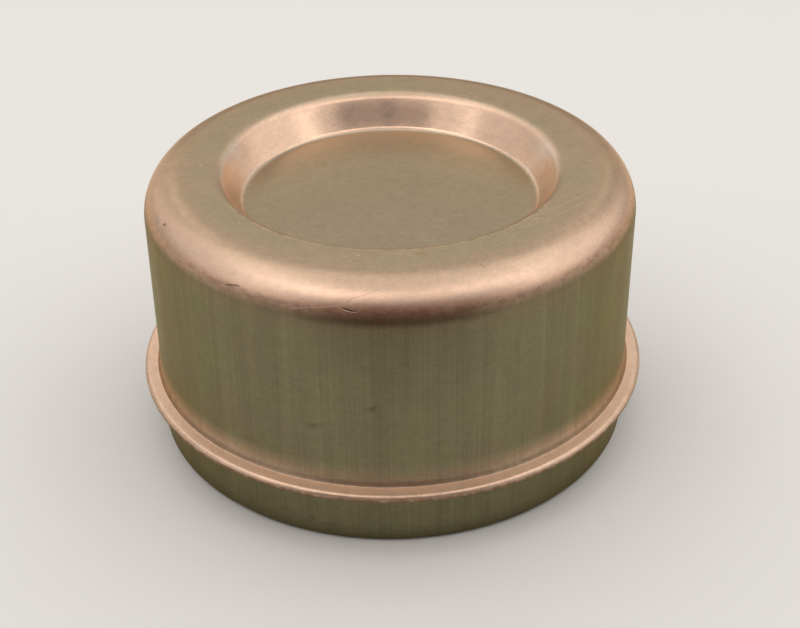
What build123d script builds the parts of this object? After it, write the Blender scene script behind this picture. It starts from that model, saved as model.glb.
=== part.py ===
"""Hub grease cap: one deep-drawn sheet steel cap that presses into a wheel hub's bore.

The frame has +Z up along the cap's own axis, with the origin at the centre of the open rim.
Every face is turned from one sheet section. It runs from the centre of the sunken dish out
over the crown and down the wall, folds out and back to make the flange, and ends in the
press-fit skirt with its rolled-in lip. Sizes are millimetres and angles are degrees.
"""

import os
from math import radians, sin, tan

from build123d import *

# Sheet
sheet = 0.6  # thickness, the same along the whole section

# Skirt, the length that presses into the hub
skirt_diameter = 69.1  # outer face, the press fit
skirt_length = 8.5  # open rim to the underside of the flange
lip_radius = 1.85  # outer face of the lead-in at the rim
lip_turn = 60  # how far the lip is rolled in from the skirt

# Flange, the sheet folded out and back, which stops against the hub's face
flange_overhang = 2.3  # how far the fold stands out from the skirt
fold_gap = 0.1  # slit left between the two layers
skirt_bend_radius = 0.5  # outer face, in the corner under the flange
foot_radius = 0.65  # outer face, in the corner where the wall meets the flange

# Crown, the drawn cup above the flange
wall_inset = 0.05  # how far the wall stands inside the skirt's outer face
crown_height = 29.9  # top face of the flange to the top of the crown
shoulder_radius = 5.5  # outer face, between the wall and the flat ring
ring_width = 4.2  # flat ring between the shoulder and the dish's rim

# Dish, the round recess in the crown
dish_depth = 5.0  # crown to the dish's flat floor
dish_wall_angle = 60  # slope of its wall from the horizontal
dish_rim_radius = 1.9  # outer face, where the ring turns down
dish_foot_radius = 1.0  # outer face, where the wall meets the floor

# Radii from the axis
skirt_r = skirt_diameter / 2
wall_r = skirt_r - wall_inset
fold_r = sheet + fold_gap / 2
fold_centre_r = skirt_r + flange_overhang - fold_r
ring_inner_r = wall_r - shoulder_radius - ring_width
dish_mouth_r = ring_inner_r - dish_rim_radius * tan(radians(dish_wall_angle / 2))
dish_floor_r = dish_mouth_r - dish_depth / tan(radians(dish_wall_angle))

# Heights from the rim
flange_bottom = skirt_length
flange_top = flange_bottom + 2 * fold_r
crown_top = flange_top + crown_height
dish_floor = crown_top - dish_depth
lip_top = lip_radius * sin(radians(lip_turn))


def outer_line():
    """The outer face of the sheet as one line, from the axis out, down and under to the rim."""
    with BuildLine() as line:
        FilletPolyline(
            (0, dish_floor),
            (dish_floor_r, dish_floor),
            (dish_mouth_r, crown_top),
            (wall_r, crown_top),
            (wall_r, flange_top),
            (fold_centre_r, flange_top),
            radius=[dish_foot_radius, dish_rim_radius, shoulder_radius, foot_radius],
        )
        JernArc((fold_centre_r, flange_top), (1, 0), fold_r, -180)
        FilletPolyline(
            (fold_centre_r, flange_bottom),
            (skirt_r, flange_bottom),
            (skirt_r, lip_top),
            radius=skirt_bend_radius,
        )
        JernArc((skirt_r, lip_top), (0, -1), lip_radius, -lip_turn)
    return line.wire()


def grease_cap():
    """The cap: its sheet section turned about the axis."""
    with BuildPart() as cap:
        with BuildSketch(Plane.XZ):
            with BuildLine():
                offset(outer_line(), amount=sheet, side=Side.RIGHT)
            make_face()
        revolve(axis=Axis.Z)
    return cap.part


os.makedirs("parts", exist_ok=True)
export_step(grease_cap(), "parts/grease_cap.step")
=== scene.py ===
import math

import bpy
from mathutils import Matrix, Vector, noise


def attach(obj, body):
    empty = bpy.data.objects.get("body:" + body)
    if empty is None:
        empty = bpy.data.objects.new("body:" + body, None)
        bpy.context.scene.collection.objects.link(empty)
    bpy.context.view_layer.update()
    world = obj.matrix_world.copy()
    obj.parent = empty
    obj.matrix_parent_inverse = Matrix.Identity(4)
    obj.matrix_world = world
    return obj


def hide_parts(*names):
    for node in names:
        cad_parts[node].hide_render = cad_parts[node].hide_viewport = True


# The cap is one turned sheet, drawn here with its wear. Sizes and places are millimetres in the
# frame of the solid, with the origin at the centre of the open rim and the photograph's viewer
# on the -Y side. Angles are degrees, counted from +X towards +Y. The lights, the boards and the
# camera have units of their own where they say so.

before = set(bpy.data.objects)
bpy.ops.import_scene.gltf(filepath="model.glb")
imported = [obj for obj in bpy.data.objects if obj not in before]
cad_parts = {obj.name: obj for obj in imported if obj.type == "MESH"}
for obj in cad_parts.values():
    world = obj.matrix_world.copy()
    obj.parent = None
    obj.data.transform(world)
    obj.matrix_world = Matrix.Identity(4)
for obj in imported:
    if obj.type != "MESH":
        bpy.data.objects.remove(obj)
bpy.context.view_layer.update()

MM = 0.001

# Sheet section, with the same sizes as the solid's
sheet = 0.6
skirt_r = 34.55
skirt_length = 8.5
lip_radius = 1.85
lip_turn = 60
flange_overhang = 2.3
fold_gap = 0.1
skirt_bend_radius = 0.5
wall_r = 34.5
crown_height = 29.9
shoulder_radius = 5.5
ring_width = 4.2
dish_depth = 5.0
dish_wall_angle = 60
dish_rim_radius = 1.9
dish_foot_radius = 1.0

fold_r = sheet + fold_gap / 2
fold_centre_r = skirt_r + flange_overhang - fold_r
fold_centre_z = skirt_length + fold_r
flange_top = fold_centre_z + fold_r
crown_top = flange_top + crown_height
dish_floor = crown_top - dish_depth
ring_outer_r = wall_r - shoulder_radius
ring_inner_r = ring_outer_r - ring_width
dish_mouth_r = ring_inner_r - dish_rim_radius * math.tan(math.radians(dish_wall_angle / 2))
dish_corner_r = dish_mouth_r - dish_depth / math.tan(math.radians(dish_wall_angle))
dish_floor_r = dish_corner_r - dish_foot_radius * math.tan(math.radians(dish_wall_angle / 2))
shoulder_z = crown_top - shoulder_radius
lip_top = lip_radius * math.sin(math.radians(lip_turn))
middle_z = crown_top / 2

# Foot of the wall, a little sharper than the solid's round: a gentle flare and a tight crease
flare_turn = 35
flare_radius = 2.2
crease_radius = 0.15
flare_cos = math.cos(math.radians(flare_turn))
flare_sin = math.sin(math.radians(flare_turn))
crease_r = wall_r + flare_radius * (1 - flare_cos) + crease_radius * flare_cos
flare_z = flange_top + flare_radius * flare_sin + crease_radius * (1 - flare_sin)

# Runs of the finish and of the painted highlight, reflection and shade, from none to full unless said
# otherwise
# The dish's rim and wall and the shoulder's band are lighter and pinker: partly worn and stretched
# plating, partly painted highlight
dish_sheen_rim = (0.0, 0.7)  # down from the crown, into the dish
dish_sheen_foot = (0.0, 0.30)  # up from the dish's floor
# The ring's pinkish outer part is partly its own tone and partly painted highlight
pink_edge = (26.8, 30.6)  # out from the axis, where the flat ring turns pinkish
shoulder_sheen_start = (0.05, 1.5)  # down from the crown
shoulder_sheen_end = (2.6, 4.7)  # down from the crown, where the rubbing ends again
# Painted reflection of the flange on the wall's foot
foot_reflection_reach = (0.0, 3.6)  # up the wall from the flange, from full to none
drawn_wall = (1.8, 4.8)  # down from the crown, where the wall's finish begins
worn_crest = 0.30  # half width and depth of the bright line along the dish's crest
frayed_shoulder = (2.3, 3.5, 5.2)  # down from the crown: begin, most and end of the stained edge
# Painted reflection of the dish's wall at the edge of its floor
floor_reflection_width = 5.5  # width of the paler edge of the dish's floor
floor_reflection_rise = (0.0, 0.25)  # up from the dish's floor, from full to none
# Painted shade under the flange's fold
fold_shade_reach = (0.08, 0.28)  # up from the fold's middle, from full to none
dull_from = (crease_r - 0.05, crease_r)  # out from the axis, on the flange's top
dull_to = (fold_centre_r - 0.05, fold_centre_r + 0.25)  # the same, from full to none
flange_skin = 0.1  # how far under its top the flange's upper face reaches at its dull part
height_slack = 0.01

# Mesh: steps around the cap and along each stretch of its section
segments = 384
floor_steps = 12
dish_foot_steps = 10
dish_rim_steps = 16
shoulder_steps = 30
wall_steps = 16
flare_steps = 8
crease_steps = 6
fold_steps = 16
bend_steps = 8
lip_steps = 10
between_steps = 3  # on a straight stretch that leads into a bend
outer_fineness = 1.0
inner_fineness = 0.5
fine_floor = 1  # width of the dish floor's finely stepped edge
fine_wall = 2  # height of the wall's finely stepped foot
edge_share = 0.07  # of the sheet's thickness, the sharpness of the sheared edge
axis_slack = 1e-9

# Waves and dents that the sheet has taken, all of them inwards: a dent has its place as angle,
# r and z, its half width and its depth
wave_length = 11.0
wave_depth = 0.045
dents = [((178.5, 30.5, 39.5), 1.3, 0.07), ((-168.0, 30.9, 39.4), 1.6, 0.06),
         ((-155.5, 33.0, 38.0), 0.9, 0.05), ((12.0, 30.6, 39.4), 1.8, 0.05)]


def on_cap(angle, r, z):
    """A place on the cap's face, from its angle, its distance from the axis and its height."""
    return Vector((r * math.cos(math.radians(angle)), r * math.sin(math.radians(angle)), z))


def on_crown(angle, r):
    """A place on the crown's outer face: on the dish's floor, the flat ring or the shoulder."""
    if r > ring_outer_r:
        rise = math.sqrt(shoulder_radius ** 2 - (r - ring_outer_r) ** 2)
        return on_cap(angle, r, shoulder_z + rise)
    return on_cap(angle, r, crown_top if r > dish_mouth_r else dish_floor)


def arc(centre_r, centre_z, radius, start, end, steps):
    """Section points along an arc, without its first point."""
    angles = [math.radians(start + (end - start) * i / steps) for i in range(1, steps + 1)]
    return [(centre_r + radius * math.cos(a), centre_z + radius * math.sin(a)) for a in angles]


def line(start, end, shares):
    """Section points along a straight stretch, at the given shares of its length."""
    return [(start[0] + (end[0] - start[0]) * s, start[1] + (end[1] - start[1]) * s)
            for s in shares]


def sheet_face(depth, fineness):
    """The face of the sheet that lies depth inside the outer one, from the axis to the rim."""

    def count(steps):
        return max(2, round(steps * fineness))

    def straight_to(r, z, steps):
        parts = count(steps)
        points.extend(line(points[-1], (r, z), [i / parts for i in range(1, parts + 1)]))

    def round_about(r, z, radius, start, end, steps):
        begin = math.radians(start)
        straight_to(r + radius * math.cos(begin), z + radius * math.sin(begin), between_steps)
        points.extend(arc(r, z, radius, start, end, count(steps)))

    points = [(0, dish_floor - depth)]
    straight_to(dish_floor_r - fine_floor, dish_floor - depth, floor_steps)
    round_about(dish_floor_r, dish_floor + dish_foot_radius, dish_foot_radius + depth,
                -90, dish_wall_angle - 90, dish_foot_steps)
    round_about(ring_inner_r, crown_top - dish_rim_radius, dish_rim_radius - depth,
                dish_wall_angle + 90, 90, dish_rim_steps)
    round_about(ring_outer_r, shoulder_z, shoulder_radius - depth, 90, 0, shoulder_steps)
    straight_to(wall_r - depth, flange_top + fine_wall, wall_steps)
    round_about(wall_r + flare_radius, flare_z, flare_radius + depth,
                180, 180 + flare_turn, flare_steps)
    points.extend(arc(crease_r, flange_top + crease_radius, crease_radius + depth,
                      180 + flare_turn, 270, crease_steps))
    round_about(fold_centre_r, fold_centre_z, fold_r - depth, 90, -90, fold_steps)
    round_about(skirt_r + skirt_bend_radius, skirt_length - skirt_bend_radius,
                skirt_bend_radius + depth, 90, 180, bend_steps)
    round_about(skirt_r - lip_radius, lip_top, lip_radius - depth, 0, -lip_turn, lip_steps)
    return points


def settled(spot):
    """A place on the turned sheet, moved inwards as its waves and dents have moved it."""
    inwards = (Vector((0, 0, middle_z)) - spot).normalized()
    swell = 0.5 + 0.5 * noise.noise(spot / wave_length)
    moved = spot + inwards * wave_depth * min(1, max(0, swell))
    for (angle, r, z), width, depth in dents:
        off = (spot - on_cap(angle, r, z)).length / width
        moved += inwards * depth * math.exp(-off * off)
    return moved


def turned(name, section):
    """A closed mesh: the section, whose two ends lie on the axis, turned about it."""
    verts = []
    rings = []
    for r, z in section:
        count = 1 if r < axis_slack else segments
        rings.append(range(len(verts), len(verts) + count))
        verts.extend(settled(on_cap(360 * i / segments, r, z)) * MM for i in range(count))
    faces = []
    for above, below in zip(rings, rings[1:]):
        for i in range(segments):
            j = (i + 1) % segments
            if len(above) == 1:
                faces.append((above[0], below[i], below[j]))
            elif len(below) == 1:
                faces.append((above[i], below[0], above[j]))
            else:
                faces.append((above[i], below[i], below[j], above[j]))
    mesh = bpy.data.meshes.new(name)
    mesh.from_pydata(verts, [], faces)
    mesh.polygons.foreach_set("use_smooth", [True] * len(mesh.polygons))
    mesh.update()
    cap = bpy.data.objects.new(name, mesh)
    bpy.context.scene.collection.objects.link(cap)
    return cap


def ramp(value, low, high):
    """0 at low, 1 at high, with a smooth run between them."""
    share = min(1, max(0, (value - low) / (high - low)))
    return share * share * (3 - 2 * share)


def dished(r, z):
    """1 on the dish's rim and wall, which the punch left smooth."""
    if r > ring_inner_r:
        return 0.0
    return min(ramp(crown_top - z, *dish_sheen_rim), ramp(z - dish_floor, *dish_sheen_foot))


def rubbed_and_sheen(r, z):
    """1 on the shoulder's band, the dish, the flange and the wall's foot, whose lighter colour is
    partly worn plating and partly painted highlight, and at the foot painted reflection; 0 on the
    flats, the wall and the skirt.
    """
    below_crown = crown_top - z
    if r < ring_inner_r:
        return dished(r, z)
    if z > flange_top + foot_reflection_reach[1]:
        return ramp(below_crown, *shoulder_sheen_start) * (1 - ramp(below_crown, *shoulder_sheen_end))
    if r > skirt_r + skirt_bend_radius:
        return 1.0
    return 1 - ramp(z - flange_top, *foot_reflection_reach) if z > flange_top - height_slack else 0.0


def crest(r, z):
    """1 along the crest of the dish's rim, where the cap has been set down on its crown."""
    if z <= crown_top - worn_crest:
        return 0.0
    return 1 - ramp(abs(r - ring_inner_r + worn_crest), 0, worn_crest)


def drawn(r, z):
    """1 below the shoulder, where the dies drew the sheet, and 0 on the crown."""
    return ramp(crown_top - z, *drawn_wall) if r > ring_outer_r else 0.0


def frayed(r, z):
    """1 along the lower edge of the shoulder's lighter band, which is stained."""
    if r <= ring_outer_r:
        return 0.0
    begin, most, end = frayed_shoulder
    below_crown = crown_top - z
    return ramp(below_crown, begin, most) * (1 - ramp(below_crown, most, end))


def floor_edge_reflection(r, z):
    """1 at the edge of the dish's floor, which is painted paler as a reflection of the dish's wall.
    """
    return ramp(r, dish_floor_r - floor_reflection_width, dish_floor_r) * (1 - ramp(z - dish_floor, *floor_reflection_rise))


def edged(r, z):
    """1 on the outer part of the crown, where the flat ring's colour turns pinkish, partly as painted
    highlight.
    """
    return ramp(r, *pink_edge) if z > flange_top else 0.0


def fold_underside_shade(r, z):
    """1 on the lower half of the flange's fold, which is darkened as painted shade."""
    if r <= fold_centre_r:
        return 0.0
    return 1 - ramp(z, fold_centre_z + fold_shade_reach[0], fold_centre_z + fold_shade_reach[1])


def matt(r, z):
    """1 on the flange's top, which is duller than its rounded edge; its lighter colour and the bright
    line at its inner edge are painted highlight.
    """
    if z <= flange_top - flange_skin:
        return 0.0
    return ramp(r, *dull_from) * (1 - ramp(r, *dull_to))


def build_cap():
    """The cap, with the weights that its finish follows on its points."""
    outer = sheet_face(0, outer_fineness)
    inner = sheet_face(sheet, inner_fineness)
    edge = line(outer[-1], inner[-1], [edge_share, 0.5, 1 - edge_share])
    cap = turned("drawn_cap", outer + edge + inner[::-1])
    weights = {}
    for weight in (rubbed_and_sheen, crest, drawn, dished, frayed, floor_edge_reflection, edged, fold_underside_shade, matt):
        on_outer = [weight(r, z) for r, z in outer]
        on_edge = 1.0 if weight is rubbed_and_sheen else 0.0
        weights[weight.__name__] = on_outer + [on_edge] * len(edge) + [0.0] * len(inner)
    weights["inside"] = [0.0] * (len(outer) + len(edge)) + [1.0] * len(inner)
    for name, values in weights.items():
        spread = [values[0]]
        for value in values[1:-1]:
            spread.extend([value] * segments)
        spread.append(values[-1])
        cap.data.attributes.new(name, "FLOAT", "POINT").data.foreach_set("value", spread)
    return cap


cap = build_cap()
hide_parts("grease_cap")
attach(cap, "root")

# Noises of the sheet: stretch along X, Y and Z, turns a millimetre, detail and seed
textures = {
    "grain": ((0.45, 0.8, 1.0), 3.6, 2.0, 0.0),
    "peel": ((0.5, 0.5, 1.0), 1.5, 2.0, 3.0),
    "fine_lines": ((1.0, 1.0, 0.012), 2.6, 2.0, 5.0),
    "broad_lines": ((1.0, 1.0, 0.03), 0.45, 3.0, 8.0),
    "mottle": ((1.0, 1.0, 0.8), 0.20, 4.0, 11.0),
    "cloud": ((0.6, 1.0, 1.0), 0.12, 4.0, 14.0),
    "specks": ((0.8, 1.0, 1.0), 1.7, 1.0, 21.0),
    "hairs": ((0.06, 0.5, 1.0), 0.9, 0.0, 27.0),
    "ragged": ((1.0, 1.0, 0.3), 0.9, 3.0, 31.0),
}


class Graph:
    """A material's nodes, with short names for the kinds that it uses most."""

    def __init__(self, name):
        self.material = bpy.data.materials.new(name)
        self.material.use_nodes = True
        self.tree = self.material.node_tree
        self.shader = self.tree.nodes["Principled BSDF"]
        self.known = {}
        spot = self.node("ShaderNodeTexCoord").outputs["Object"]
        self.place = self.vector("SCALE", spot, Scale=1 / MM)  # millimetres
        axes = self.node("ShaderNodeSeparateXYZ")
        self.feed(axes.inputs[0], self.place)
        self.x, self.y, self.z = axes.outputs

    def node(self, kind, **settings):
        made = self.tree.nodes.new(kind)
        for key, value in settings.items():
            setattr(made, key, value)
        return made

    def feed(self, socket, value):
        if isinstance(value, bpy.types.NodeSocket):
            self.tree.links.new(value, socket)
        elif socket.type == "RGBA":
            socket.default_value = (*value, 1)
        else:
            socket.default_value = value

    def vector(self, operation, *values, **named):
        made = self.node("ShaderNodeVectorMath", operation=operation)
        for socket, value in zip(made.inputs, values):
            self.feed(socket, value)
        for name, value in named.items():
            self.feed(made.inputs[name], value)
        return made.outputs["Value" if operation in ("DOT_PRODUCT", "DISTANCE") else "Vector"]

    def math(self, operation, *values, clamp=False):
        made = self.node("ShaderNodeMath", operation=operation, use_clamp=clamp)
        for socket, value in zip(made.inputs, values):
            self.feed(socket, value)
        return made.outputs[0]

    def product(self, first, *others):
        for other in others:
            first = self.math("MULTIPLY", first, other)
        return first

    def rest(self, amount, share=1.0):
        """What is left of 1 when a share of the amount is taken from it."""
        return self.math("MULTIPLY_ADD", amount, -share, 1.0)

    def damped(self, factor, share):
        """A factor near 1, with only a share of its swing left."""
        return self.math("MULTIPLY_ADD", self.math("SUBTRACT", factor, 1.0), share, 1.0)

    def weight(self, name):
        """A weight that the mesh has on its points."""
        if name not in self.known:
            self.known[name] = self.node("ShaderNodeAttribute", attribute_name=name).outputs["Fac"]
        return self.known[name]

    def texture(self, name):
        """One of the sheet's noises, from 0 to 1."""
        if name not in self.known:
            stretch, scale, detail, seed = textures[name]
            made = self.node("ShaderNodeTexNoise", noise_dimensions="4D")
            self.feed(made.inputs["Vector"], self.vector("MULTIPLY", self.place, stretch))
            made.inputs["W"].default_value = seed
            made.inputs["Scale"].default_value = scale
            made.inputs["Detail"].default_value = detail
            self.known[name] = made.outputs["Fac"]
        return self.known[name]

    def run(self, value, low, high, to_low=0.0, to_high=1.0):
        """A smooth run from to_low at low to to_high at high."""
        made = self.node("ShaderNodeMapRange", interpolation_type="SMOOTHSTEP")
        for name, number in (("Value", value), ("From Min", low), ("From Max", high),
                             ("To Min", to_low), ("To Max", to_high)):
            self.feed(made.inputs[name], number)
        return made.outputs["Result"]

    def mix(self, share, first, second, blend="MIX"):
        made = self.node("ShaderNodeMix", data_type="RGBA", blend_type=blend)
        share_socket, first_socket, second_socket = made.inputs[0], made.inputs[6], made.inputs[7]
        self.feed(share_socket, share)
        self.feed(first_socket, first)
        self.feed(second_socket, second)
        return made.outputs[2]

    def laid(self, colour, *layers):
        """The colour with others laid on it in turn, each given as its share and its colour."""
        for share, layer in layers:
            colour = self.mix(share, colour, layer)
        return colour

    def grey(self, value):
        made = self.node("ShaderNodeCombineColor")
        for socket in made.inputs:
            self.feed(socket, value)
        return made.outputs[0]

    def bump(self, height, depth, onto=None):
        """A normal for a height from 0 to 1 that stands for depth millimetres."""
        made = self.node("ShaderNodeBump")
        made.inputs["Strength"].default_value = 1.0
        made.inputs["Distance"].default_value = depth * MM
        self.feed(made.inputs["Height"], height)
        if onto:
            self.feed(made.inputs["Normal"], onto)
        return made.outputs["Normal"]


# Base colours
flat_colour = (0.440, 0.362, 0.250)
flat_warm_colour = (0.468, 0.362, 0.262)
# Pinkish outer part of the ring, partly painted highlight
edge_colour = (0.51, 0.372, 0.268)
dish_floor_colour = (0.395, 0.325, 0.232)
# Painted reflection of the dish's wall on the edge of its floor
floor_reflection_colour = (0.470, 0.425, 0.360)
# Lighter, pinker colours of the shoulder, the dish and the flange's fold: partly worn plating, partly
# painted highlight
rubbed_sheen_colour = (0.82, 0.585, 0.445)
rubbed_low_sheen_colour = (0.84, 0.53, 0.375)
dish_colour = (0.86, 0.605, 0.450)
# Paler on the dish's left and right sides: painted reflection
dish_side_reflection_colour = (0.88, 0.75, 0.64)
flange_colour = (0.77, 0.545, 0.410)
# The flange's flat top: painted highlight, lighter than the fold
flange_flat_sheen_colour = (0.95, 0.72, 0.57)
bare_colour = (0.92, 0.70, 0.52)
# The wall's colour is partly its own drawn finish and partly painted shade, darker than the flats
wall_colour = (0.214, 0.205, 0.114)
wall_warm_colour = (0.225, 0.200, 0.120)
wall_top_colour = (0.240, 0.194, 0.116)
skirt_colour = (0.186, 0.172, 0.096)
# The wall's foot: painted reflection of the flange, with other colours on the cap's left and right
# sides and low down by the crease
foot_reflection_colour = (0.37, 0.305, 0.215)
foot_side_reflection_colour = (0.54, 0.435, 0.33)
foot_low_reflection_colour = (0.55, 0.41, 0.29)
foot_low_side_reflection_colour = (0.41, 0.29, 0.195)
inside_colour = (0.30, 0.26, 0.16)
grazing_tint = (0.86, 0.74, 0.56)  # the metal's tint where it is seen almost edge on
near_black_colour = (0.045, 0.035, 0.022)
# Stains, and the painted shade under the flange's fold
stain_and_shade_colour = (0.20, 0.115, 0.065)
rust_colour = (0.50, 0.24, 0.10)
nick_colour = (0.13, 0.06, 0.035)

# Heights between which a colour or finish comes in, from none to full
dish_floor_run = (crown_top - 1, dish_floor + 1)
rubbed_low_sheen_run = (crown_top - 1.8, crown_top - 3.6)
wall_top_run = (crown_top - 8.0, crown_top - 5.0)
# Painted reflection of the flange on the wall's foot
foot_reflection_run = (flange_top + 4, flange_top + 3)
foot_low_reflection_run = (flange_top + 1.1, flange_top + 0.4)
flange_run = (flange_top + 0.06, flange_top + 0.01)
skirt_run = (flange_top, skirt_length)
skirt_dirt_run = (3.4, 0.6)
# Darker towards the cap's bottom edge
bottom_edge_dark_run = (1.1, 0.3)
smooth_dish_run = (crown_top - 0.5, crown_top - 1.5)

# The same along Y or X
dish_side_run = (10.0, 5.5)  # distance from the middle along Y, at the dish's left and right ends
cap_side_run = (8.0, 24.0)  # distance from the middle along X
front_crest_run = (-8.0, -17.0)  # Y, where the dish's crest is worn
# Where the painted reflection lies on the dish floor's edge
rear_floor_reflection_run = (4.0, 14.0)  # Y, where the dish floor's edge is paler

# Parts of a noise that count, from none to full
warm_flats = (0.38, 0.64)
warm_wall = (0.38, 0.62)
broken_crest = (0.35, 0.60)
frayed_patches = (0.42, 0.62)
hair_lines = (0.008, 0.002)  # distance from the noise's middle value
hair_patches = (0.45, 0.60)
speck_tips = (0.70, 0.76)
speck_patches = (0.42, 0.58)

# The same, with the least and the most that the noise leaves
# Painted shade under the fold, broken up by noise
fold_shade_patches = (0.25, 0.60, 0.55, 1.0)
skirt_dirt_patches = (0.20, 0.60, 0.6, 1.0)
smudge_patches = (0.30, 0.62, 0.25, 1.0)

# Light and dark that a noise gives over its middle values
middle_values = (0.3, 0.7)
grain_shades = (0.955, 1.045)
peel_shades = (0.96, 1.04)
fine_line_shades = (0.935, 1.065)
broad_line_shades = (0.94, 1.06)
matt_calm = 0.6  # share of the light and dark that the flange's dull top loses

# Shares of the rubbing's unevenness, the crest, the stains, the painted reflection and shade and the
# darker bottom edge at their most
uneven_share = 0.25
crest_share = 0.55
frayed_share = 0.38
floor_reflection_share = 0.80
fold_shade_share = 0.92
skirt_dirt_share = 0.40
bottom_edge_dark_share = 0.35

# Roughness, and what is added or taken by region
flat_roughness = 0.36
drawn_roughness = 0.05
dull_roughness = 0.20
dish_smoothness = 0.13
mottle_roughness = (-0.03, 0.03)

# Relief in millimetres, and the share of it that the punch has ironed out in the dish
grain_depth = 0.0035
peel_depth = 0.012
line_depth = 0.006
nick_depth = 0.06
shallow_share = 0.12  # depth of a brown nick or a scratch beside a black nick
ironed_grain = 0.7
ironed_peel = 0.9

# Marks on the crown, each a chain of places as (angle, r), with its half width
black_nicks = [
    ([(-100.7, 33.86), (-97.0, 34.06)], 0.19),
]
brown_nicks = [
    ([(-128.2, 34.03), (-124.9, 33.84)], 0.24),
    ([(-126.4, 33.90), (-123.6, 33.80)], 0.18),
    ([(-156.0, 33.1), (-154.3, 32.9)], 0.34),
]
bright_scratches = [
    ([(-111.6, 34.22), (-106.8, 34.01), (-102.1, 33.75)], 0.17),
    ([(-39.7, 25.0), (-34.4, 25.8), (-29.1, 26.6), (-24.3, 27.6), (-19.5, 28.6)], 0.10),
    ([(-49.5, 25.6), (-42.3, 26.4), (-35.1, 27.3), (-26.8, 28.7)], 0.08),
    ([(-48.9, 29.0), (-42.8, 29.4), (-36.7, 29.8)], 0.08),
]
dull_scratches = [
    ([(-99.4, 33.37), (-96.0, 32.85), (-92.4, 32.19)], 0.075),
    ([(-68.6, 30.25), (-67.8, 30.9)], 0.13),
    ([(-62.3, 27.0), (-60.9, 27.85)], 0.13),
]
bright_flecks = [
    ([(-179.9, 26.3), (-179.2, 26.3)], 0.20),
    ([(-101.1, 27.6), (-100.5, 27.6)], 0.21),
    ([(-99.2, 26.0), (-98.7, 26.0)], 0.18),
    ([(-139.9, 25.8), (-139.5, 26.1)], 0.16),
    ([(-125.8, 28.4), (-125.5, 28.4)], 0.15),
    ([(-42.6, 25.4), (-41.2, 25.5)], 0.17),
    ([(-1.9, 27.6), (-1.1, 28.2)], 0.15),
    ([(61.1, 26.0), (60.8, 26.0)], 0.22),
]
rust_flecks = [
    ([(-83.4, 25.7), (-81.6, 25.8), (-79.9, 26.1)], 0.24),
    ([(-76.1, 25.7), (-75.5, 25.6), (-74.9, 25.8)], 0.15),
    ([(-72.0, 25.8), (-71.3, 25.9)], 0.15),
    ([(-126.8, 24.4), (-126.0, 24.4)], 0.16),
    ([(-67.8, 28.1), (-67.2, 28.1)], 0.14),
    ([(31.7, 27.0), (31.2, 27.0)], 0.36),
    ([(72.3, 6.7), (70.0, 6.8)], 0.18),
    ([(44.6, 2.5), (46.0, 2.9)], 0.20),
]

# Smudges on the wall and the skirt, each a chain of places as (angle, z), with its half width
wall_smudges = [
    ([(-94.0, 22.4), (-95.8, 22.0)], 0.75),
    ([(-106.0, 18.9), (-108.4, 18.4)], 0.80),
    ([(-63.0, 29.5), (-62.6, 27.0)], 0.4),
]
skirt_smudges = [
    ([(-124.9, 2.8), (-123.9, 2.8)], 0.45),
    ([(-116.1, 3.6), (-111.9, 3.3)], 0.32),
    ([(-109.2, 3.2), (-108.8, 3.0)], 0.45),
    ([(-105.7, 2.6), (-103.8, 2.5)], 0.38),
    ([(-146.2, 3.4), (-143.3, 3.2), (-140.5, 2.9)], 0.42),
    ([(-69.1, 3.4), (-67.8, 3.3)], 0.36),
    ([(-57.6, 3.3), (-52.5, 3.1), (-47.4, 2.9), (-42.5, 3.1), (-37.6, 3.3)], 0.24),
]

# Kinds of mark on the crown: chains, softness of the edge and whether the ends taper
crown_marks = {
    "black nick": (black_nicks, 0.7, True),
    "brown nick": (brown_nicks, 1.0, True),
    "scratch": (bright_scratches, 1.0, False),
    "dull scratch": (dull_scratches, 1.0, False),
    "fleck": (bright_flecks, 0.8, False),
    "rust": (rust_flecks, 0.9, False),
}
smudge_softness = 1.0
taper = 1.1  # a tapered mark's fullness at its middle, where 1 would end in sharp points
wander = 0.20  # full width of the band in which the marks' edges stray
wander_scale = 2.0
hair_share = 0.5  # of a speck's strength

# How strongly each kind of mark shows and its colour, in the order that they are laid
mark_looks = {
    "bright": (0.38, bare_colour),
    "fine": (0.22, bare_colour),
    "rust": (0.65, rust_colour),
    "dull scratch": (0.45, stain_and_shade_colour),
    "smudge": (0.33, near_black_colour),
    "brown nick": (0.75, nick_colour),
    "black nick": (0.92, near_black_colour),
}


def crown_chains(marks):
    """Marks on the crown, with their places in space."""
    return [([on_crown(*spot) for spot in chain], half_width) for chain, half_width in marks]


def wall_chains(marks):
    """Marks on the wall or the skirt, with their places in space."""
    return [([on_cap(angle, wall_r, z) for angle, z in chain], half_width)
            for chain, half_width in marks]


def near_marks(g, place, chains, softness, tapered=False):
    """1 on the marks and 0 off them, with an edge as wide as softness times the half width."""
    total = 0.0
    for spots, half_width in chains:
        for begin, end in zip(spots, spots[1:]):
            along = end - begin
            off = g.vector("SUBTRACT", place, tuple(begin))
            reach = g.vector("DOT_PRODUCT", off, tuple(along))
            share = g.math("MULTIPLY", reach, 1 / along.length_squared, clamp=True)
            distance = g.vector("DISTANCE", off, g.vector("SCALE", tuple(along), Scale=share))
            if tapered:
                from_middle = g.math("MULTIPLY_ADD", share, 2.0, -1.0)
                fullness = g.math("SUBTRACT", taper, g.math("MULTIPLY", from_middle, from_middle))
                distance = g.math("DIVIDE", distance, fullness)
            mark = g.run(distance, half_width, half_width * (1 - softness))
            total = g.math("MAXIMUM", total, mark)
    return total


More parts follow.
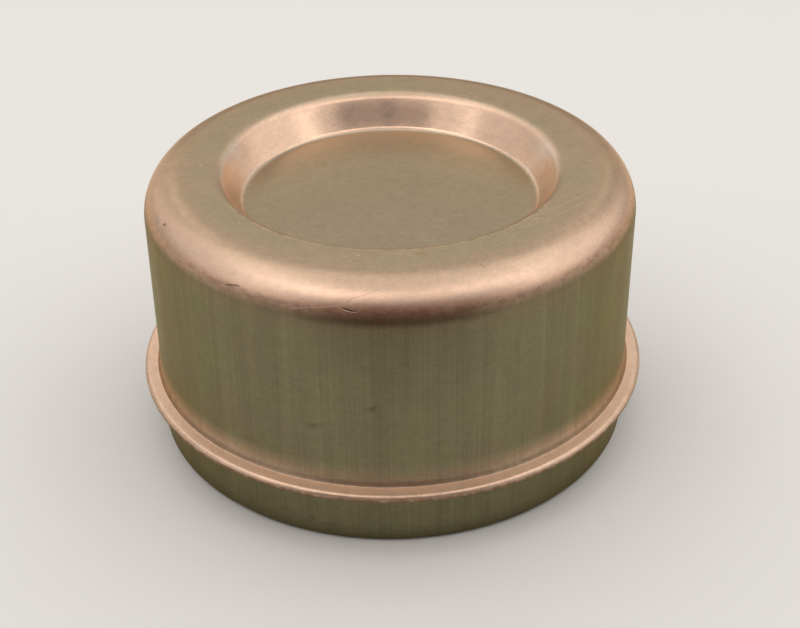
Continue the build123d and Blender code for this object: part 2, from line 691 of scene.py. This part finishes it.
def find_marks(g):
    """Where each kind of mark lies: the photograph's own, and fine hairs and specks."""
    stray = g.node("ShaderNodeTexNoise")
    g.feed(stray.inputs["Vector"], g.place)
    stray.inputs["Scale"].default_value = wander_scale
    off_middle = g.vector("SUBTRACT", stray.outputs["Color"], (0.5, 0.5, 0.5))
    place = g.vector("ADD", g.place, g.vector("SCALE", off_middle, Scale=wander))
    marks = {}
    for kind, (chains, softness, tapered) in crown_marks.items():
        marks[kind] = near_marks(g, place, crown_chains(chains), softness, tapered)
    smudge = near_marks(g, place, wall_chains(wall_smudges + skirt_smudges), smudge_softness)
    marks["smudge"] = g.product(smudge, g.run(g.texture("ragged"), *smudge_patches))
    cloud = g.texture("cloud")
    on_crown_only = g.rest(g.weight("drawn"))
    hair = g.run(g.math("ABSOLUTE", g.math("SUBTRACT", g.texture("hairs"), 0.5)), *hair_lines)
    hair = g.product(hair, g.rest(g.weight("rubbed_and_sheen")), on_crown_only, g.run(cloud, *hair_patches))
    speck = g.run(g.texture("specks"), *speck_tips)
    speck = g.product(speck, on_crown_only, g.run(cloud, *speck_patches))
    marks["fine"] = g.math("MAXIMUM", g.math("MULTIPLY", hair, hair_share), speck)
    marks["bright"] = g.math("MAXIMUM", marks["scratch"], marks["fleck"])
    return marks


def region_colour(g, dish_side):
    """Colours of the flats, the wall and the skirt, the lighter rounded parts and the inside, with
    painted highlight on the rounded parts, painted reflection at the wall's foot and painted shade in
    the wall's darker colour.
    """
    rub_and_sheen = g.weight("rubbed_and_sheen")
    draw = g.weight("drawn")
    ragged = g.texture("ragged")
    flat = g.laid(flat_colour,
                  (g.run(g.texture("cloud"), *warm_flats), flat_warm_colour),
                  (g.run(g.z, *dish_floor_run), dish_floor_colour),
                  (g.weight("edged"), edge_colour))
    wall = g.laid(wall_colour,
                  (g.run(g.texture("mottle"), *warm_wall), wall_warm_colour),
                  (g.run(g.z, *wall_top_run), wall_top_colour),
                  (g.run(g.z, *skirt_run), skirt_colour))
    # Painted reflection of the flange on the wall's foot, with other colours on the cap's sides and
    # low down
    cap_side = g.run(g.math("ABSOLUTE", g.x), *cap_side_run)
    foot_low = g.mix(cap_side, foot_low_reflection_colour, foot_low_side_reflection_colour)
    foot = g.laid(foot_reflection_colour,
                  (cap_side, foot_side_reflection_colour),
                  (g.run(g.z, *foot_low_reflection_run), foot_low))
    # The lighter rounded parts: worn plating with painted highlight, the painted reflection at the
    # wall's foot and the flange's painted lighter top
    bright = g.laid(rubbed_sheen_colour,
                    (g.run(g.z, *rubbed_low_sheen_run), rubbed_low_sheen_colour),
                    (g.weight("dished"), g.mix(dish_side, dish_colour, dish_side_reflection_colour)),
                    (g.run(g.z, *foot_reflection_run), foot),
                    (g.run(g.z, *flange_run), flange_colour),
                    (g.weight("matt"), flange_flat_sheen_colour))
    unevenness = g.product(g.math("SUBTRACT", ragged, 0.5), draw, uneven_share)
    uneven_rub_and_sheen = g.math("ADD", rub_and_sheen, g.math("MULTIPLY", unevenness, rub_and_sheen), clamp=True)
    crest_line = g.product(g.weight("crest"), g.run(ragged, *broken_crest),
                           g.run(g.y, *front_crest_run), crest_share)
    return g.laid(flat,
                  (draw, wall),
                  (uneven_rub_and_sheen, bright),
                  (crest_line, bare_colour),
                  (g.weight("inside"), inside_colour))


def sheet_shade(g):
    """Light and dark of the grain and the draw lines, around 1."""
    grain = g.run(g.texture("grain"), *middle_values, *grain_shades)
    peel = g.run(g.texture("peel"), *middle_values, *peel_shades)
    fine_lines = g.run(g.texture("fine_lines"), *middle_values, *fine_line_shades)
    broad_lines = g.run(g.texture("broad_lines"), *middle_values, *broad_line_shades)
    lines = g.damped(g.math("MULTIPLY", fine_lines, broad_lines), g.weight("drawn"))
    return g.damped(g.product(grain, lines, peel), g.rest(g.weight("matt"), matt_calm))


def stained(g, colour):
    """Stains on the shoulder's lower edge and the skirt, a painted reflection at the dish floor's
    edge, painted shade under the flange's fold and a darker bottom edge.
    """
    ragged = g.texture("ragged")
    shoulder = g.product(g.weight("frayed"), g.run(g.texture("peel"), *frayed_patches), frayed_share)
    # Painted reflection at the dish floor's edge
    corner = g.product(g.weight("floor_edge_reflection"), g.run(g.y, *rear_floor_reflection_run), floor_reflection_share)
    # Painted shade under the fold
    fold = g.product(g.weight("fold_underside_shade"), g.run(ragged, *fold_shade_patches), fold_shade_share)
    skirt = g.product(g.run(g.z, *skirt_dirt_run), g.run(ragged, *skirt_dirt_patches),
                      skirt_dirt_share)
    # Darker towards the bottom edge
    rim = g.run(g.z, *bottom_edge_dark_run, 0.0, bottom_edge_dark_share)
    return g.laid(colour,
                  (shoulder, stain_and_shade_colour),
                  (corner, floor_reflection_colour),
                  (fold, stain_and_shade_colour),
                  (skirt, near_black_colour),
                  (rim, near_black_colour))


def marked(g, colour, marks):
    """The colour with every kind of mark laid on it."""
    for kind, (share, mark_colour) in mark_looks.items():
        colour = g.mix(g.math("MULTIPLY", marks[kind], share), colour, mark_colour)
    return colour


def roughness(g, dish_side):
    """Rougher on the wall and the dull parts, smoother on the dish's front and rear walls."""
    rough = g.math("MULTIPLY_ADD", g.weight("drawn"), drawn_roughness, flat_roughness)
    smooth = g.product(g.math("SUBTRACT", g.weight("dished"), dish_side),
                       g.run(g.z, *smooth_dish_run))
    rough = g.math("SUBTRACT", rough, g.math("MULTIPLY", smooth, dish_smoothness))
    dull = g.math("MAXIMUM", g.weight("inside"), g.weight("matt"))
    rough = g.math("ADD", rough, g.math("MULTIPLY", dull, dull_roughness))
    mottle = g.run(g.texture("mottle"), *middle_values, *mottle_roughness)
    return g.math("ADD", rough, mottle)


def relief(g, marks):
    """Relief of the grain, the draw lines, the nicks and the scratches."""
    dish = g.weight("dished")
    grain = g.math("MULTIPLY", g.texture("grain"), g.rest(dish, ironed_grain))
    peel = g.math("MULTIPLY", g.texture("peel"), g.rest(dish, ironed_peel))
    lines = g.math("MULTIPLY", g.texture("fine_lines"), g.weight("drawn"))
    shallow = g.math("MAXIMUM", marks["brown nick"], marks["scratch"])
    shallow = g.math("MULTIPLY", shallow, shallow_share)
    pressed = g.rest(g.math("MAXIMUM", marks["black nick"], shallow))
    normal = None
    for height, depth in ((grain, grain_depth), (peel, peel_depth), (lines, line_depth),
                          (pressed, nick_depth)):
        normal = g.bump(height, depth, normal)
    return normal


def drawn_steel():
    """Plated sheet steel: rolled grain on the crown, draw lines on the wall, worn edges with painted
    highlight, painted reflection and shade, wear.
    """
    g = Graph("drawn_steel")
    dish_side = g.product(g.weight("dished"), g.run(g.math("ABSOLUTE", g.y), *dish_side_run))
    colour = region_colour(g, dish_side)
    colour = g.mix(1.0, colour, g.grey(sheet_shade(g)), "MULTIPLY")
    colour = stained(g, colour)
    # The marks come last, because the cap renders black when they are made before the colours
    marks = find_marks(g)
    colour = marked(g, colour, marks)
    g.feed(g.shader.inputs["Base Color"], colour)
    g.feed(g.shader.inputs["Metallic"], 1.0)
    g.feed(g.shader.inputs["Specular Tint"], grazing_tint)
    g.feed(g.shader.inputs["Roughness"], roughness(g, dish_side))
    g.feed(g.shader.inputs["Normal"], relief(g, marks))
    return g.material


cap.data.materials.append(drawn_steel())

# Soft boxes around the cap: azimuth and elevation in degrees, width and height in metres, and
# radiance, where 1 shows as white. Azimuth 0 is behind the cap and 90 at its right.
soft_boxes = {
    "left": (-85, 33, 0.56, 0.43, 0.45),
    "left_front": (-126, 36, 0.28, 0.40, 0.52),
    "left_high": (-95, 58, 0.45, 0.22, 0.58),
    "right": (85, 33, 0.56, 0.43, 0.70),
    "right_front": (121, 36, 0.24, 0.34, 0.46),
    "right_high": (95, 58, 0.45, 0.22, 0.36),
    "front_left": (-155, 54, 0.26, 0.22, 0.72),
    "front": (180, 62, 0.55, 0.22, 0.38),
    "front_right": (155, 54, 0.26, 0.22, 0.55),
    "above": (0, 90, 0.60, 0.22, 0.69),
    "above_rear": (0, 68, 0.60, 0.22, 0.95),
    "rear": (0, 34, 0.55, 0.26, 0.62),
    "rear_low": (0, 9, 0.60, 0.14, 0.20),
    "rear_left": (-40, 25, 0.25, 0.40, 0.50),
    "rear_right": (40, 25, 0.25, 0.40, 0.26),
}
box_distance = 0.5
side_tint = (1.0, 0.95, 0.89)
front_tint = (1.0, 0.90, 0.82)
front_azimuth = 140  # beyond this a box stands in front
world_strength = 0.25


def area_light(name, azimuth, elevation, width, height, radiance):
    """A soft box that faces the cap."""
    data = bpy.data.lights.new(name, "AREA")
    data.shape = "RECTANGLE"
    data.size = width
    data.size_y = height
    data.energy = radiance * math.pi * width * height
    data.color = front_tint if abs(azimuth) > front_azimuth else side_tint
    light = bpy.data.objects.new(name, data)
    bpy.context.scene.collection.objects.link(light)
    side = math.radians(azimuth)
    rise = math.radians(elevation)
    flat = math.cos(rise)
    towards = Vector((math.sin(side) * flat, math.cos(side) * flat, math.sin(rise)))
    light.location = towards * box_distance + Vector((0, 0, middle_z * MM))
    light.rotation_mode = "QUATERNION"
    light.rotation_quaternion = towards.to_track_quat("Z", "Y")


def build_world():
    """A plain white world."""
    world = bpy.data.worlds.new("studio")
    bpy.context.scene.world = world
    world.use_nodes = True
    background = world.node_tree.nodes["Background"]
    background.inputs["Color"].default_value = (1, 1, 1, 1)
    background.inputs["Strength"].default_value = world_strength


for box_name, box in soft_boxes.items():
    area_light(box_name, *box)
build_world()

# Boards of the stage: a pale floor, and a slanted dark card in front that only reflections show.
# Each has a near and a far edge, given as half width, y and z in metres.
floor_half = 3.0
floor_near = (floor_half, -floor_half, 0)
floor_far = (floor_half, floor_half, 0)
floor_colour = (0.87, 0.87, 0.86)
card_near = (0.062, -0.095, 0.0005)
card_far = (0.267, -0.400, 0.290)
card_colour = (0.10, 0.05, 0.035)
board_roughness = 0.9


def plain_material(name, colour):
    """A plain dull material."""
    material = bpy.data.materials.new(name)
    material.use_nodes = True
    shader = material.node_tree.nodes["Principled BSDF"]
    shader.inputs["Base Color"].default_value = (*colour, 1)
    shader.inputs["Roughness"].default_value = board_roughness
    return material


def staged(name, near, far, material):
    """A flat board between its two edges, which belongs to the stage."""
    corners = [(-near[0], near[1], near[2]), near, far, (-far[0], far[1], far[2])]
    mesh = bpy.data.meshes.new(name)
    mesh.from_pydata(corners, [], [range(len(corners))])
    mesh.materials.append(material)
    made = bpy.data.objects.new(name, mesh)
    bpy.context.scene.collection.objects.link(made)
    return made


staged("floor", floor_near, floor_far, plain_material("floor_reflection_width", floor_colour))
card = staged("front_card", card_near, card_far, plain_material("dark_card", card_colour))
card.visible_camera = False
card.visible_diffuse = False
card.visible_shadow = False

# Camera, recovered from the cap's own round edges in the photograph. Its place and its sensor
# are in millimetres and its turns in radians.
photo_width = 800
focal_pixels = 1491.84
sensor = 36
camera_y = -186.91
camera_z = 124.14 + flange_top
yaw = -0.0064
pitch = -0.5688
roll = -0.0131


def build_camera():
    """The photograph's camera."""
    data = bpy.data.cameras.new("camera")
    data.sensor_width = sensor
    data.lens = focal_pixels * sensor / photo_width
    camera = bpy.data.objects.new("camera", data)
    bpy.context.scene.collection.objects.link(camera)
    level = math.cos(pitch)
    forward = Vector((-math.sin(yaw) * level, math.cos(yaw) * level, math.sin(pitch)))
    right = Vector((math.cos(yaw), math.sin(yaw), 0))
    up = right.cross(forward)
    turned_right = math.cos(roll) * right + math.sin(roll) * up
    turned_up = math.cos(roll) * up - math.sin(roll) * right
    axes = Matrix((turned_right, turned_up, -forward)).transposed()
    camera.location = (0, camera_y * MM, camera_z * MM)
    camera.rotation_mode = "QUATERNION"
    camera.rotation_quaternion = axes.to_quaternion()
    bpy.context.scene.camera = camera


build_camera()
bpy.context.scene.view_settings.view_transform = "Standard"
